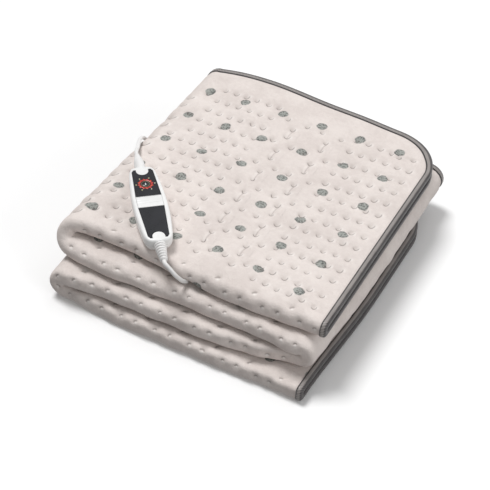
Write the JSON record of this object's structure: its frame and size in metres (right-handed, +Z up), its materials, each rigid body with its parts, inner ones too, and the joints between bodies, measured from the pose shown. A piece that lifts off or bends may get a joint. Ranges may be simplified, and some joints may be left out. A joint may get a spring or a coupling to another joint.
{
  "type": "folded electric underblanket",
  "caption": "Quilted fleece electric underblanket with a bound edge, folded into a flat stack, with its in-line heat controller on top and its lead and two-pin plug behind.",
  "frame": {"origin": "on the surface the stack lies on, under the middle of the stack's box without its free cords", "axes": "+Z up, +X to the right along the folded front, +Y from the front fold to the back"},
  "size_m": [0.3942, 0.5171, 0.1164],
  "materials": {
    "fleece": "soft brushed fleece, warm off-white with grey dots",
    "satin_tape": "woven satin tape, dark grey",
    "white_shell": "gloss white",
    "dark_panel": "satin blue-black",
    "red_ring": "satin red",
    "white_cord": "soft satin white",
    "plug_brass": "nickel-pale brass"
  },
  "bodies": {
    "blanket_and_controller": {"blanket": "fleece", "edge_tape": "satin_tape", "controller_shell": "white_shell", "upper_panel": "dark_panel", "lower_panel": "dark_panel", "dial_ring": "red_ring", "lead_relief": "white_cord", "heater_relief": "white_cord", "lead": "white_cord", "lead_coil": "white_cord", "lead_tail": "white_cord", "heater_cord": "white_cord", "plug_body": "white_cord", "plug_pin_left": "plug_brass", "plug_pin_right": "plug_brass"},
    "key": {"rocker_key": "white_shell"}
  },
  "joints": [
    {"name": "key_rock", "type": "hinge", "parent": "blanket_and_controller", "child": "key", "pos_m": [-0.0936, -0.10445, 0.1133], "axis": [0.7815, 0.6239, 0], "range_deg": [-3, 3], "stiffness_Nm_per_rad": 0.4}
  ]
}
